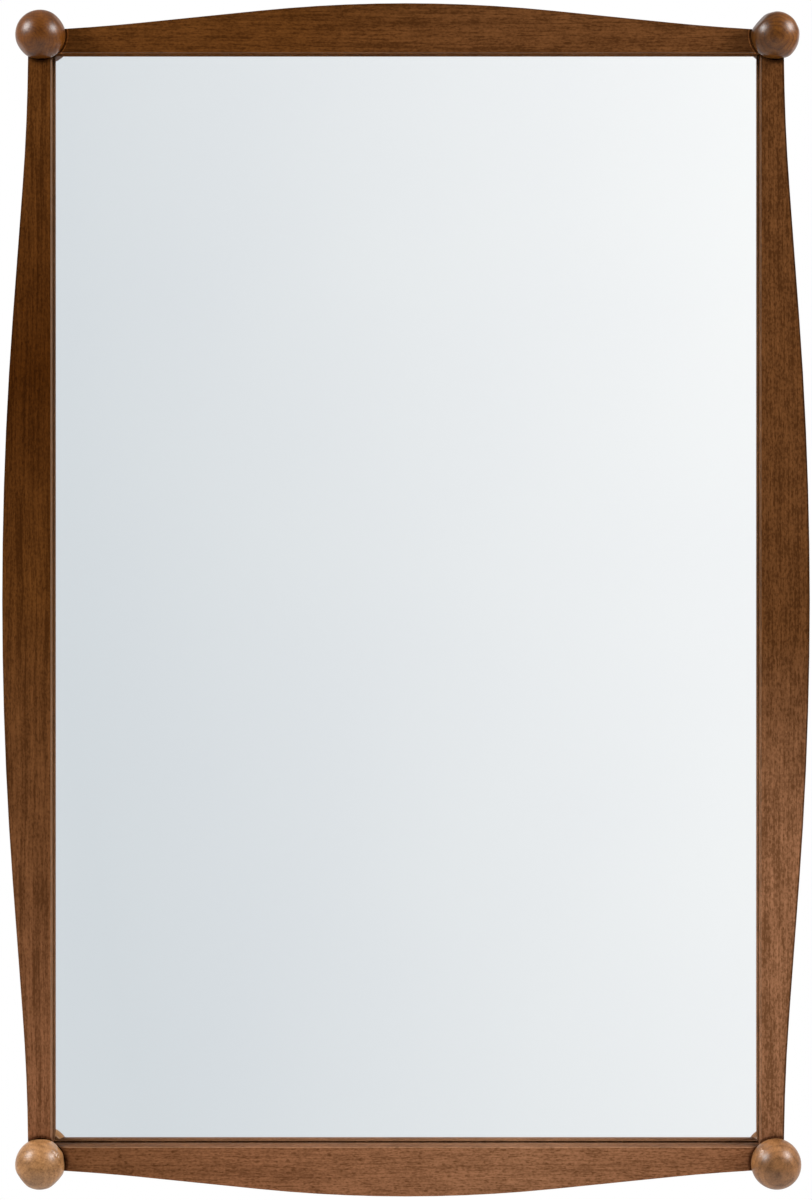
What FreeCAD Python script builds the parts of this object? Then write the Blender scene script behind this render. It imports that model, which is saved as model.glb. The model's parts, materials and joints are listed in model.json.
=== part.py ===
import FreeCAD, Part
import math
import os

# Wall mirror: a solid wood frame, straight inside and bowed outside, with a ball on each corner.
# Lengths are in millimetres. The wall is the plane y = 0, the mirror faces -Y and +Z is up.
# The origin is the point of the wall behind the middle of the glass.

# Opening and frame stock
opening_width = 542.6
opening_height = 837.2
frame_thickness = 20.0
rebate_width = 8.0
outer_arris_radius = 1.6
inner_arris_radius = 0.8

# Bowed edges: the stock is narrowest at the corners, and the bow is what the crown adds to it.
# Foot, hollow and crown are shares of half the opening's length along the member.
stile_end_width = 18.2
stile_bow = 19.8
stile_foot_share = 0.891
stile_hollow_share = 0.136
stile_crown_share = 0.259
rail_end_width = 16.15
rail_bow = 22.24
rail_foot_share = 1.016
rail_hollow_share = 0.274
rail_crown_share = 0.208

# Balls: turned round, sawn flat behind and let into a round seat at each corner. They were set by hand,
# so each inset, from the frame's outer edge at the corners to the ball's centre, is its own.
ball_diameter = 38.4
ball_stand = 3.0
ball_seat_depth = 6.0
ball_seat_gap = 0.15
ball_seat_rim_width = 1.9
ball_seat_rim_depth = 0.5
left_ball_inset = 9.9
right_ball_inset = 6.5
top_ball_inset = 2.25
bottom_ball_inset = 3.75

# Glass, backing board and the blocks that both stand on
glass_thickness = 4.0
board_thickness = 3.0
glass_edge_gap = 1.5
block_length = 30.0
block_place_share = 0.5

# Retaining tabs, laid flat over the board and the back of the frame
tab_length = 22.0
tab_width = 11.0
tab_thickness = 1.2
tab_hold = 10.0
stile_tab_shares = (-0.74, 0.0, 0.74)
rail_tab_shares = (-0.5, 0.5)

# Hangers: a sheet strap with a rolled eye, and a wire ring in the shape of a D
hanger_height = 200.0
hanger_from_rebate = 11.4
strap_width = 11.0
strap_thickness = 1.0
strap_length = 42.0
strap_screw_spacing = 12.0
ring_wire_diameter = 2.4
ring_half_width = 8.6
ring_leg_length = 6.0
ring_corner_radius = 2.6
ring_eye_gap = 0.3

# Wood screws with a cross slot
tab_screw_diameter = 3.0
tab_screw_head = 6.0
tab_screw_head_height = 1.8
tab_screw_length = 10.0
ball_screw_diameter = 3.6
ball_screw_head = 7.2
ball_screw_head_height = 2.4
ball_screw_length = 26.0
hanger_screw_diameter = 3.2
hanger_screw_head = 6.4
hanger_screw_head_height = 2.0
hanger_screw_length = 13.0
screw_hole_gap = 0.15
screw_tip_share = 0.22
slot_width_share = 0.16
slot_length_share = 0.6
slot_depth_share = 0.5

# Wall bumpers behind the bottom corners, as thick as the hangers stand off the frame
bumper_diameter = 9.5
bumper_edge_radius = 0.8
bumper_place_share = 0.94

# One overrun for every cut that passes through a face
overrun = 2.0

half_width = opening_width / 2
half_height = opening_height / 2
lip_depth = frame_thickness - glass_thickness - board_thickness
eye_inner_radius = ring_wire_diameter / 2 + ring_eye_gap
eye_outer_radius = eye_inner_radius + strap_thickness
wall_stand_off = 2 * eye_outer_radius
back_y = -wall_stand_off
front_y = back_y - frame_thickness
lap_y = front_y + frame_thickness / 2
glass_y = front_y + lip_depth
board_y = glass_y + glass_thickness
stile_edge_x = half_width + stile_end_width
rail_edge_z = half_height + rail_end_width
reach_x = stile_edge_x + stile_bow + overrun
reach_z = rail_edge_z + rail_bow + overrun
rebate_x = half_width + rebate_width
rebate_z = half_height + rebate_width
glass_x = rebate_x - glass_edge_gap
glass_z = rebate_z - glass_edge_gap
ball_radius = ball_diameter / 2
ball_x = {"left": left_ball_inset - stile_edge_x, "right": stile_edge_x - right_ball_inset}
ball_z = {"top": rail_edge_z - top_ball_inset, "bottom": bottom_ball_inset - rail_edge_z}
ball_y = front_y - ball_stand
ball_seat_y = front_y + ball_seat_depth
hanger_x = rebate_x + hanger_from_rebate
hinge_y = back_y + eye_outer_radius
last_strap_screw = strap_length - strap_width / 2
strap_screw_drops = (last_strap_screw - strap_screw_spacing, last_strap_screw)

sides = {"left": -1, "right": 1}
levels = {"top": 1, "bottom": -1}
origin = FreeCAD.Vector(0, 0, 0)
along_x = FreeCAD.Vector(1, 0, 0)
along_y = FreeCAD.Vector(0, 1, 0)
along_z = FreeCAD.Vector(0, 0, 1)


def point(x, y, z):
    return FreeCAD.Vector(x, y, z)


def box(low, high):
    """Block between its lowest and its highest corner."""
    size = [b - a for a, b in zip(low, high)]
    return Part.makeBox(*size, point(*low))


def placed(shape, place, turn=0):
    """Copy of a shape, turned by degrees about the y axis and then moved from the origin to a place."""
    copy = shape.copy()
    copy.rotate(origin, along_y, turn)
    copy.translate(place)
    return copy


def export(name, shapes):
    """Write one node from its solids, and print what it holds."""
    shape = shapes[0] if len(shapes) == 1 else Part.makeCompound(shapes)
    shape.exportStep("parts/" + name + ".step")
    print(name, len(shape.Solids), "solid(s)", round(shape.Volume), "mm3", shape.isValid())


# Frame members


def bowed_region(end, bow, half_length, foot_share, hollow_share, crown_share, reach):
    """Face in the plane y = 0 between two bowed edges, one above the x axis and one below it.

    Each edge is a crown arc in the middle, a straight flank on each side of it, a hollow arc at the
    flank's foot and a level line at z = end from there outwards, at least to x = reach.
    """
    foot = foot_share * half_length
    hollow = hollow_share * half_length
    crown = crown_share * half_length
    slope = math.atan2(bow, foot - crown)
    crown_radius = crown / math.tan(slope / 2)
    hollow_radius = hollow / math.tan(slope / 2)
    crown_top = point(0, 0, end + bow)
    crown_end = point(crown_radius * math.sin(slope), 0, end + bow - crown_radius * (1 - math.cos(slope)))
    hollow_start = point(foot - hollow * math.cos(slope), 0, end + hollow * math.sin(slope))
    hollow_middle = point(foot + hollow - hollow_radius * math.sin(slope / 2), 0,
                          end + hollow_radius * (1 - math.cos(slope / 2)))
    hollow_end = point(foot + hollow, 0, end)
    corner = point(max(reach, foot + hollow + overrun), 0, end)

    quarter = [Part.makeLine(crown_end, hollow_start),
               Part.Arc(hollow_start, hollow_middle, hollow_end).toShape(),
               Part.makeLine(hollow_end, corner), Part.makeLine(corner, point(corner.x, 0, 0))]
    upper = quarter + [edge.mirror(origin, along_x) for edge in quarter]
    upper.append(Part.Arc(point(-crown_end.x, 0, crown_end.z), crown_top, crown_end).toShape())
    edges = upper + [edge.mirror(origin, along_z) for edge in upper]
    return Part.Face(Part.Wire(Part.__sortEdges__(edges)))


def front_edges(shape, around_opening):
    """Edges of the front face, either those around the opening or the bowed outer ones."""
    found = []
    for edge in shape.Edges:
        limits = edge.BoundBox
        far_x = max(abs(limits.XMin), abs(limits.XMax))
        far_z = max(abs(limits.ZMin), abs(limits.ZMax))
        is_inner = far_x < half_width + rebate_width and far_z < half_height + rebate_width
        if limits.YMax < front_y + inner_arris_radius / 2 and is_inner == around_opening:
            found.append(edge)
    return found


def frame_blank():
    """The whole frame as one solid: bowed outside, open in the middle, eased in front, rebated behind."""
    across = bowed_region(rail_edge_z, rail_bow, half_width, rail_foot_share, rail_hollow_share,
                          rail_crown_share, reach_x)
    upright = bowed_region(stile_edge_x, stile_bow, half_height, stile_foot_share, stile_hollow_share,
                           stile_crown_share, reach_z)
    thickness = point(0, frame_thickness, 0)
    slab = placed(across, point(0, front_y, 0)).extrude(thickness)
    upright_slab = placed(upright, point(0, front_y, 0), 90).extrude(thickness)
    opening = box((-half_width, front_y - overrun, -half_height), (half_width, back_y + overrun, half_height))
    blank = slab.common(upright_slab).cut(opening).Solids[0]
    blank = blank.makeFillet(outer_arris_radius, front_edges(blank, False))
    blank = blank.makeFillet(inner_arris_radius, front_edges(blank, True))
    rebate = box((-rebate_x, glass_y, -rebate_z), (rebate_x, back_y + overrun, rebate_z))
    return blank.cut(rebate)


def ball_places(y):
    """Points at the depth y on the axes of the four balls, by the names of their corners."""
    return {level + "_" + side: point(x, y, z) for level, z in ball_z.items() for side, x in ball_x.items()}


def ball_seats():
    """Cutters for the four seats: a pocket that follows the ball down to a flat floor, in a dished rim."""
    radius = ball_radius + ball_seat_gap
    pocket = Part.makeSphere(radius, point(0, -ball_stand, 0)).common(
        box((-radius, -ball_stand, -radius), (radius, ball_seat_depth, radius)))
    rim_inner = math.sqrt(radius ** 2 - (ball_stand + ball_seat_rim_depth) ** 2)
    rim = Part.makeCone(rim_inner + ball_seat_rim_width, rim_inner, ball_seat_rim_depth, origin, along_y)
    return [placed(cutter, place) for place in ball_places(front_y).values() for cutter in (pocket, rim)]


def member_regions():
    """Blocks that divide the blank: the stile has the front half of each corner lap, the rail the rear."""
    regions = {}
    for name, side in sides.items():
        x_near, x_far = sorted((half_width * side, reach_x * side))
        front = box((x_near, front_y - overrun, -reach_z), (x_far, lap_y, reach_z))
        rear = box((x_near, lap_y, -half_height), (x_far, back_y + overrun, half_height))
        regions[name + "_stile"] = front.fuse(rear)
    for name, level in levels.items():
        z_near, z_far = sorted((half_height * level, reach_z * level))
        front = box((-half_width, front_y - overrun, z_near), (half_width, lap_y, z_far))
        rear = box((-reach_x, lap_y, z_near), (reach_x, back_y + overrun, z_far))
        regions[name + "_rail"] = front.fuse(rear)
    return regions


# Screws


def screw_body(diameter, head, head_height, length, is_round):
    """Screw along -Y from y = 0, where a round head's underside or a countersunk head's face lies."""
    shank = diameter / 2
    rim = point(head / 2, 0, 0)
    outline = []
    if is_round:
        dome_radius = (rim.x ** 2 + head_height ** 2) / (2 * head_height)
        half_angle = math.asin(min(1, rim.x / dome_radius)) / 2
        top = point(0, head_height, 0)
        middle = point(dome_radius * math.sin(half_angle),
                       head_height - dome_radius * (1 - math.cos(half_angle)), 0)
        neck = point(shank, 0, 0)
        outline.append(Part.Arc(top, middle, rim).toShape())
    else:
        top = origin
        neck = point(shank, -head_height, 0)
        outline.append(Part.makeLine(top, rim))
    shoulder = point(shank, length * screw_tip_share - length, 0)
    tip = point(0, -length, 0)
    corners = [rim, neck, shoulder, tip, top]
    outline += [Part.makeLine(a, b) for a, b in zip(corners, corners[1:])]
    return Part.Face(Part.Wire(outline)).revolve(origin, along_y, 360)


def screw(diameter, head, head_height, length, is_round):
    """Screw with its cross slot."""
    half_length = head * slot_length_share / 2
    half_slot = head * slot_width_share / 2
    top = head_height if is_round else 0
    floor = top - head_height * slot_depth_share
    slots = [box((-a, floor, -b), (a, top + overrun, b))
             for a, b in ((half_length, half_slot), (half_slot, half_length))]
    return screw_body(diameter, head, head_height, length, is_round).cut(slots)


def screw_hole(diameter, head, head_height, length, is_round):
    """Cutter that leaves the same narrow gap all round a screw."""
    growth = 2 * screw_hole_gap
    return screw_body(diameter + growth, head + growth, head_height, length + screw_hole_gap, is_round)


tab_screw_sizes = (tab_screw_diameter, tab_screw_head, tab_screw_head_height, tab_screw_length, True)
ball_screw_sizes = (ball_screw_diameter, ball_screw_head, ball_screw_head_height, ball_screw_length, False)
hanger_screw_sizes = (hanger_screw_diameter, hanger_screw_head, hanger_screw_head_height,
                      hanger_screw_length, True)


def tab_places():
    """Each tab's place on the rebate's edge, with the turn that points its free end outwards."""
    places = []
    for side in sides.values():
        turn = 0 if side > 0 else 180
        places += [(point(rebate_x * side, back_y, half_height * share), turn) for share in stile_tab_shares]
    for level in levels.values():
        places += [(point(half_width * share, back_y, rebate_z * level), -90 * level)
                   for share in rail_tab_shares]
    return places


def tab_screw_place():
    """Where the screw passes through a tab that starts at the origin: the middle of its round end."""
    return point(tab_length - tab_hold - tab_width / 2, tab_thickness, 0)


def tab_screws(shape):
    return [placed(placed(shape, tab_screw_place()), place, turn) for place, turn in tab_places()]


def ball_screws(shape):
    return [placed(shape, place) for place in ball_places(back_y).values()]


def hanger_screws(shape):
    return [placed(shape, point(hanger_x * side, back_y + strap_thickness, hanger_height - drop))
            for side in sides.values() for drop in strap_screw_drops]


# Small parts


def strip(start, end, width, thickness, ends):
    """Plate along x on the plane y = 0, with the ends named in ends rounded to a half circle."""
    half = width / 2
    plate = box((start + half if "start" in ends else start, 0, -half),
                (end - half if "end" in ends else end, thickness, half))
    for name, x in (("start", start + half), ("end", end - half)):
        if name in ends:
            plate = plate.fuse(Part.makeCylinder(half, thickness, point(x, 0, 0), along_y))
    return plate.removeSplitter()


def retaining_tab():
    hole = Part.makeCylinder(tab_screw_diameter / 2 + screw_hole_gap, tab_thickness + 2 * overrun,
                             tab_screw_place() - along_y * (tab_thickness + overrun), along_y)
    return strip(-tab_hold, tab_length - tab_hold, tab_width, tab_thickness, ("start", "end")).cut(hole)


def corner_ball():
    """Ball round the origin, sawn flat where it meets the floor of its seat."""
    sawn_off = box((-ball_radius, ball_seat_y - ball_y, -ball_radius), (ball_radius, ball_radius, ball_radius))
    return Part.makeSphere(ball_radius).cut(sawn_off)


def hanger_strap():
    """Strap hanging down from the ring's axis at the origin, its end curled round the ring's bar."""
    left = point(-strap_width / 2, 0, 0)
    eye = Part.makeCylinder(eye_outer_radius, strap_width, left, along_x)
    hollow = Part.makeCylinder(eye_inner_radius, strap_width, left, along_x)
    mouth = box((left.x, -eye_outer_radius, -eye_outer_radius), (-left.x, 0, 0))
    plate = placed(strip(0, strap_length, strap_width, strap_thickness, ("end",)),
                   point(0, -eye_outer_radius, 0), 90)
    strap = eye.cut([hollow, mouth]).fuse(plate).removeSplitter()
    for drop in strap_screw_drops:
        hole = Part.makeCylinder(hanger_screw_diameter / 2 + screw_hole_gap, strap_thickness + 2 * overrun,
                                 point(0, -eye_outer_radius - overrun, -drop), along_y)
        strap = strap.cut(hole)
    return strap


def hanger_ring():
    """Wire ring round its straight bar on the x axis, with two corners, two legs and a half circle."""
    bar = ring_half_width - ring_corner_radius
    bend = ring_corner_radius * math.sin(math.pi / 4)
    edges = [Part.makeLine(point(-bar, 0, 0), point(bar, 0, 0))]
    for side in sides.values():
        corner = [point(bar * side, 0, 0), point((bar + bend) * side, 0, bend - ring_corner_radius),
                  point(ring_half_width * side, 0, -ring_corner_radius)]
        edges.append(Part.Arc(*corner).toShape())
        edges.append(Part.makeLine(corner[2], point(ring_half_width * side, 0, -ring_leg_length)))
    edges.append(Part.Arc(point(-ring_half_width, 0, -ring_leg_length),
                          point(0, 0, -ring_leg_length - ring_half_width),
                          point(ring_half_width, 0, -ring_leg_length)).toShape())
    path = Part.Wire(Part.__sortEdges__(edges))
    start = path.OrderedEdges[0]
    section = Part.Wire(Part.makeCircle(ring_wire_diameter / 2, start.valueAt(start.FirstParameter),
                                        start.tangentAt(start.FirstParameter)))
    ring = path.makePipeShell([section], True, False)
    print("hanger ring:", round(ring.Volume, 1), "mm3, wire section times length",
          round(path.Length * math.pi * ring_wire_diameter ** 2 / 4, 1), "mm3")
    return ring


def wall_bumper():
    bumper = Part.makeCylinder(bumper_diameter / 2, wall_stand_off, point(0, back_y, 0), along_y)
    rim = [edge for edge in bumper.Edges if edge.BoundBox.YMin > -bumper_edge_radius]
    return bumper.makeFillet(bumper_edge_radius, rim)


def setting_block():
    return box((-block_length / 2, glass_y, -rebate_z), (block_length / 2, back_y, -glass_z))


os.makedirs("parts", exist_ok=True)

ball_holes = ball_screws(screw_hole(*ball_screw_sizes))
frame_holes = (ball_holes + tab_screws(screw_hole(*tab_screw_sizes))
               + hanger_screws(screw_hole(*hanger_screw_sizes)))
blank = frame_blank().cut(ball_seats() + frame_holes)
for name, region in member_regions().items():
    export(name, [blank.common(region).Solids[0]])

for name, place in ball_places(ball_y).items():
    export(name + "_ball", [placed(corner_ball(), place).cut(ball_holes)])

export("mirror_glass", [box((-glass_x, glass_y, -glass_z), (glass_x, board_y, glass_z))])
export("backing_board", [box((-glass_x, board_y, -glass_z), (glass_x, back_y, glass_z))])
export("setting_blocks", [placed(setting_block(), point(glass_x * block_place_share * side, 0, 0))
                          for side in sides.values()])
export("retaining_tabs", [placed(retaining_tab(), place, turn) for place, turn in tab_places()])
export("tab_screws", tab_screws(screw(*tab_screw_sizes)))
export("ball_screws", ball_screws(screw(*ball_screw_sizes)))
export("hanger_screws", hanger_screws(screw(*hanger_screw_sizes)))
for name, side in sides.items():
    hinge = point(hanger_x * side, hinge_y, hanger_height)
    export(name + "_hanger_strap", [placed(hanger_strap(), hinge)])
    export(name + "_hanger_ring", [placed(hanger_ring(), hinge)])
    print(name, "ring hinge at", hinge)

bumper_x = (rebate_x + stile_edge_x) / 2
bumper_z = -half_height * bumper_place_share
export("wall_bumpers", [placed(wall_bumper(), point(bumper_x * side, 0, bumper_z)) for side in sides.values()])
print("front face at y", front_y, "back at", back_y, "ball centres", ball_x, ball_y, ball_z)
print("bumpers at", bumper_x, bumper_z, "overall width", 2 * (stile_edge_x + stile_bow),
      "height", 2 * (rail_edge_z + rail_bow))
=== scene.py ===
"""Looks of a wall mirror: a bowed frame of stained hardwood with a turned ball on each corner.

Lengths are in metres unless their name ends in _mm. The wall is the plane y = 0, the mirror faces -Y and
+Z is up. The frame gives every place; the classes below dress its pieces or stand finer ones in for them.
"""

import json
import logging
import math
from collections.abc import Callable, Sequence
from dataclasses import dataclass, field
from enum import Enum

import bmesh
import bpy
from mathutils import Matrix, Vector, noise


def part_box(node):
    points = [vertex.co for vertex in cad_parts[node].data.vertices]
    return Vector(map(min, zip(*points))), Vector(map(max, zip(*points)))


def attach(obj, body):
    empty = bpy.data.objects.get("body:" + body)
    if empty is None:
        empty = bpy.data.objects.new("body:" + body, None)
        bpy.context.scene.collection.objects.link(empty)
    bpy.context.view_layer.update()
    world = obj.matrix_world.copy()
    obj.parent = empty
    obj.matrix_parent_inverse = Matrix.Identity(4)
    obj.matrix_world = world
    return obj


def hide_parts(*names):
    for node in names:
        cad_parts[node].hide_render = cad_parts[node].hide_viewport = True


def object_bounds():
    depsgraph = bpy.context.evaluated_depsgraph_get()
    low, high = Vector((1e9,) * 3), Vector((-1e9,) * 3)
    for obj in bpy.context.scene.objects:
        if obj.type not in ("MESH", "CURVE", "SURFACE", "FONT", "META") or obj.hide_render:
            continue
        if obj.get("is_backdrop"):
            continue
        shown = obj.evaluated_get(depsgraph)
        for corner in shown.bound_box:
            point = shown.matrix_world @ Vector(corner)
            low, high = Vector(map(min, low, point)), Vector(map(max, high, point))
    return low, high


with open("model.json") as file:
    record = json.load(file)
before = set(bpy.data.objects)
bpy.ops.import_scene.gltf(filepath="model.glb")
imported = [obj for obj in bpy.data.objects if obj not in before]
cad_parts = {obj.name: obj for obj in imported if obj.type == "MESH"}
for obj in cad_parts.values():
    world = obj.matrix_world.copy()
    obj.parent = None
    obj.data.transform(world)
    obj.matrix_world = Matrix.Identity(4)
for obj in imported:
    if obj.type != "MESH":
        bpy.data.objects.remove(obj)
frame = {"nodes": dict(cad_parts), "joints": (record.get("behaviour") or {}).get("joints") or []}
cad_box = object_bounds()

log = logging.getLogger("wall_mirror")

MM = 0.001
METRES_TO_MM = 1000.0
FRAME_BODY = "frame"
WHITE = "#ffffff"
# Edges that turn by more than this stay sharp.
SHARP_FROM = math.radians(35)
# Corners of a CAD mesh that lie nearer than this are one.
WELD = 0.002 * MM

Node = bpy.types.Node
Socket = bpy.types.NodeSocket
Material = bpy.types.Material
Mesh = bpy.types.Mesh
Place = tuple[float, float, float]
# The place and the sRGB hex colour of each stop of a ramp.
Stops = tuple[tuple[float, str], ...]


def linear(colour: str) -> tuple[float, float, float, float]:
    """Turn an sRGB hex colour into the linear colour that a shader takes.

    Args:
        colour: the colour as # and six hex digits.

    Returns:
        Linear red, green, blue and an alpha of 1.
    """
    channels = [int(colour[place:place + 2], 16) / 255 for place in (1, 3, 5)]
    light = [c / 12.92 if c <= 0.04045 else ((c + 0.055) / 1.055) ** 2.4 for c in channels]
    return (light[0], light[1], light[2], 1.0)


class Nodes:
    """A node tree being built."""

    def __init__(self, tree: bpy.types.NodeTree) -> None:
        """Take a tree over, without the nodes that it came with."""
        self.tree = tree
        tree.nodes.clear()

    def add(self, kind: str, *values: object, inputs: dict[str | int, object] | None = None,
            settings: dict[str, object] | None = None, stops: Stops = ()) -> Node:
        """Add one node with its settings and links.

        Args:
            kind: the node's type, where Math stands for ShaderNodeMath, with its operation after a dot.
            values: its inputs in their order. An output socket or a node's first output is linked, a list
                of these is linked one by one, and anything else is set.
            inputs: its other inputs, by name or number.
            settings: its own properties, by name.
            stops: its colours, where it is a ramp.

        Returns:
            The new node.
        """
        name, _, operation = kind.partition(".")
        node = self.tree.nodes.new(name if "Node" in name else "ShaderNode" + name)
        if operation:
            node.operation = operation
        for setting, value in (settings or {}).items():
            setattr(node, setting, value)
        for key, given in (*enumerate(values), *(inputs or {}).items()):
            for value in given if isinstance(given, list) else [given]:
                source = value.outputs[0] if isinstance(value, Node) else value
                if isinstance(source, Socket):
                    self.tree.links.new(source, node.inputs[key])
                else:
                    node.inputs[key].default_value = source
        for number, (place, colour) in enumerate(stops):
            elements = node.color_ramp.elements
            element = elements[number] if number < 2 else elements.new(place)
            element.position = place
            element.color = linear(colour)
        return node


class Surface(Nodes):
    """The nodes of one material, which follow its Object coordinates."""

    def __init__(self, name: str) -> None:
        """Start a material that is named for the real one."""
        self.material = bpy.data.materials.new(name)
        self.material.use_nodes = True
        super().__init__(self.material.node_tree)
        source = self.add("TexCoord").outputs
        self.position = source["Object"]
        self.normal = source["Normal"]

    def clouded(self, size_mm: float, detail: float, stops: Stops) -> tuple[Node, Node]:
        """Colour the surface in clouds.

        Args:
            size_mm: the clouds' size.
            detail: how many finer layers they have.
            stops: the colours that follow them.

        Returns:
            The clouds and their colour.
        """
        cloud = self.add("TexNoise", inputs={
            "Vector": self.position, "Scale": METRES_TO_MM / size_mm, "Detail": detail})
        return cloud, self.add("ValToRGB", cloud, stops=stops)

    def close(self, shader: Node) -> Material:
        """Link a shader to the surface, and give the material."""
        self.add("OutputMaterial", shader)
        return self.material

    def dented(self, height: Node, strength: float, depth_mm: float, inputs: dict[str, object]) -> Material:
        """Dent the surface, shade it and close the material.

        Args:
            height: what the dents follow.
            strength: how plainly they show.
            depth_mm: how deep they are.
            inputs: the shader's other inputs.

        Returns:
            The material.
        """
        dents = self.add("Bump", inputs={
            "Strength": strength, "Distance": depth_mm * MM, "Height": height})
        return self.close(self.add("BsdfPrincipled", inputs={**inputs, "Normal": dents}))


@dataclass(frozen=True)
class Layer:
    """One layer of a wood's figure: noise drawn out along the grain."""

    across_mm: float
    along_mm: float
    low: float = 0.0
    high: float = 1.0
    detail: float = 2.0

    def cloud(self, nodes: Nodes, place: Node) -> Node:
        """Add the layer's noise.

        Args:
            nodes: the wood's nodes.
            place: across, depth and along the grain in millimetres.

        Returns:
            The noise.
        """
        size = (self.across_mm, self.across_mm, self.along_mm)
        scaled = nodes.add("VectorMath.DIVIDE", place, size)
        return nodes.add("TexNoise", inputs={"Vector": scaled, "Scale": 1.0, "Detail": self.detail})

    def strength(self, nodes: Nodes, place: Node) -> Node:
        """Add the layer, whose strength goes from 0 where its noise is low to 1 where it is high."""
        return nodes.add("MapRange", self.cloud(nodes, place), self.low, self.high,
                         settings={"interpolation_type": "SMOOTHSTEP"})


class Grain(Enum):
    """Direction in which a piece's grain runs, with its across, depth and along coordinates."""

    UPRIGHT = ("X", "Y", "Z")
    LEVEL = ("Z", "Y", "X")
    END_ON = ("X", "Z", "Y")


# Growth rings from early wood to late wood, as grey from pale to deep.
RING_TONES = ((0.0, "#3a3a3a"), (0.5, "#6a6a6a"), (0.9, WHITE), (1.0, "#3a3a3a"))
# The painted light and shade on edges, ball seats and balls is a grey that multiplies the stain. This one
# changes nothing.
UNTONED = "#808080"
PLAIN = ((0.0, UNTONED), (1.0, UNTONED))
# How much of a painted highlight is mixed in, from a member's inward face over its front: a little on the
# lip round the glass, and most on its inner arris.
ARRIS_HIGHLIGHT = ((0.0, "#707070"), (0.08, "#707070"), (0.16, WHITE), (0.36, WHITE), (0.46, "#000000"))
# How far a surface faces outwards from the glass, from -1 to 1, where the lip turns into its arris and the
# arris into the front, and how far it faces the wall where the front turns into the back.
LIP_TO_ARRIS = (-0.9, -0.6)
ARRIS_TO_FRONT = (-0.3, -0.08)
FRONT_TO_BACK = (0.3, 0.9)
# Distance from a seat's axis, and from the front face, in metres, at which its painted shading ends.
SEAT_TONES_REACH = 24 * MM
SEAT_TONES_DEPTH = 12 * MM


@dataclass(frozen=True)
class Wood:
    """Stained hardwood under thin satin lacquer: rings, fibres, dark streaks, blotches and open pores.

    The stain has soaked deeper into the late wood and the pores, so they are the dark part of the figure.
    The lacquer is a coat over matt wood. It leaves a soft sheen and lets the pores show as fine dents, and
    it is missing where a brush doesn't reach: on the lip round the glass and on the back.
    """

    name: str
    grain: Grain
    toning: Stops
    outward: Place = (0.0, 0.0, 0.0)
    # Painted light and shade, as greys over how far a surface faces outward: on a member its lip, outer
    # arris and outward face, on a ball its sides.
    painted_shading_by_facing: Stops = PLAIN
    # Painted shade round the ball seats, and on the top rail a painted highlight on their rims.
    painted_seat_shading: Stops = PLAIN
    cut_mm: Place = (0.0, 0.0, 0.0)
    pith_mm: Place = (48.0, 60.0, 0.0)
    lean: float = 0.05
    ring_mm: float = 3.4
    wander_mm: float = 5.0
    ring_weight: float = 0.24
    fibre_weight: float = 0.26
    streak_weight: float = 0.26
    blotch_weight: float = 0.2
    pore_weight: float = 0.3
    fleck_weight: float = 0.28
    pale_gain: Place = (1.5, 1.5, 1.5)
    deep_gain: Place = (0.58, 0.52, 0.42)
    # Strength of the painted highlight on the inner arris, and its pale tint.
    wear_and_highlight: float = 0.0
    arris_highlight_tint: str = "#b8987a"
    lacquer: float = 0.07
    arris_lacquer: float = 0.9
    lip_lacquer: float = 0.05
    lacquer_roughness: float = 0.4
    matt_roughness: float = 0.6
    pore_relief: float = 2.0
    dent_strength: float = 0.25
    dent_mm: float = 0.06

    wander: Layer = Layer(34.0, 170.0, detail=1.0)
    fibre: Layer = Layer(1.2, 20.0, 0.34, 0.66, 3.0)
    fleck: Layer = Layer(1.4, 2.2, 0.38, 0.64, 1.0)
    streak: Layer = Layer(5.5, 150.0, 0.44, 0.68)
    blotch: Layer = Layer(9.0, 17.0, 0.34, 0.66, 3.0)
    pore: Layer = Layer(0.85, 4.6, 0.58, 0.68, 0.0)


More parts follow.
